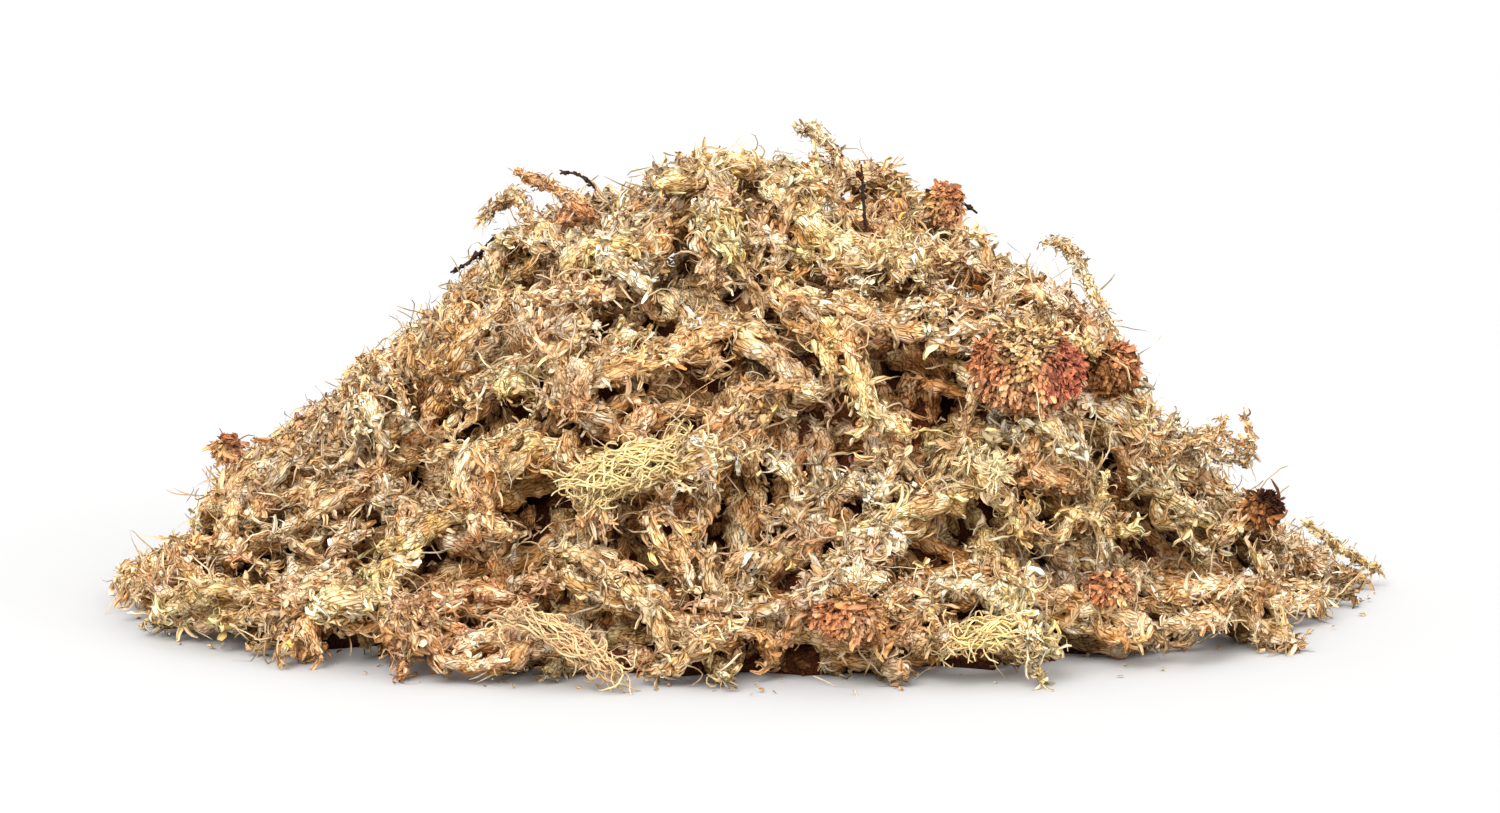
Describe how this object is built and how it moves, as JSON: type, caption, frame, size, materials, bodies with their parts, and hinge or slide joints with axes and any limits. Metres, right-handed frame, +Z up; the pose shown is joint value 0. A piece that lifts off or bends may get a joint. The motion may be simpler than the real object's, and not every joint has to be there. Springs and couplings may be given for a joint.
{
  "type": "sphagnum moss clump",
  "caption": "Loose heap of dried long-fibre sphagnum moss: tangled leafy strands over a matted heart, with heads, fibre bundles, sprigs and twigs",
  "frame": {"origin": "middle of the heap's footprint, on the surface that it lies on", "axes": "+X along the heap's longest side, +Y from its front to its back, +Z up"},
  "size_m": [0.3494, 0.2786, 0.1286],
  "materials": {
    "straw_moss": "matte",
    "heart_moss": "matte",
    "red_moss": "matte",
    "brown_moss": "matte",
    "pale_fibre": "matte",
    "dark_twig": "matte"
  },
  "bodies": {
    "root": {"crown_tuft_01": "straw_moss", "crown_tuft_02": "straw_moss", "crown_tuft_03": "straw_moss", "crown_tuft_04": "straw_moss", "crown_tuft_05": "straw_moss", "fibre_bundle_foot": "pale_fibre", "fibre_bundle_large": "pale_fibre", "fibre_bundle_low": "pale_fibre", "foot_tuft_01": "straw_moss", "foot_tuft_02": "straw_moss", "foot_tuft_03": "straw_moss", "foot_tuft_04": "straw_moss", "foot_tuft_05": "straw_moss", "foot_tuft_06": "straw_moss", "foot_tuft_07": "straw_moss", "foot_tuft_08": "straw_moss", "foot_tuft_09": "straw_moss", "foot_tuft_10": "straw_moss", "foot_tuft_11": "straw_moss", "foot_tuft_12": "straw_moss", "foot_tuft_13": "straw_moss", "head_brown_right": "brown_moss", "head_dark_right": "brown_moss", "head_left": "red_moss", "head_pale_star": "pale_fibre", "head_red_large": "red_moss", "head_red_low": "red_moss", "head_rust_crown": "red_moss", "head_rust_front": "red_moss", "heart_tangle": "heart_moss", "lower_tuft_01": "straw_moss", "lower_tuft_02": "straw_moss", "lower_tuft_03": "straw_moss", "lower_tuft_04": "straw_moss", "lower_tuft_05": "straw_moss", "lower_tuft_06": "straw_moss", "lower_tuft_07": "straw_moss", "lower_tuft_08": "straw_moss", "lower_tuft_09": "straw_moss", "lower_tuft_10": "straw_moss", "spray_right": "straw_moss", "sprig_crown": "straw_moss", "sprig_left_fork": "straw_moss", "sprig_left_loop": "straw_moss", "sprig_left_tall": "straw_moss", "sprig_right_curl": "straw_moss", "straw_right": "straw_moss", "twig_crown": "dark_twig", "twig_left_hook": "dark_twig", "twig_left_short": "dark_twig", "twig_right": "dark_twig", "upper_tuft_01": "straw_moss", "upper_tuft_02": "straw_moss", "upper_tuft_03": "straw_moss", "upper_tuft_04": "straw_moss", "upper_tuft_05": "straw_moss", "upper_tuft_06": "straw_moss", "upper_tuft_07": "straw_moss", "upper_tuft_08": "straw_moss"}
  },
  "joints": []
}
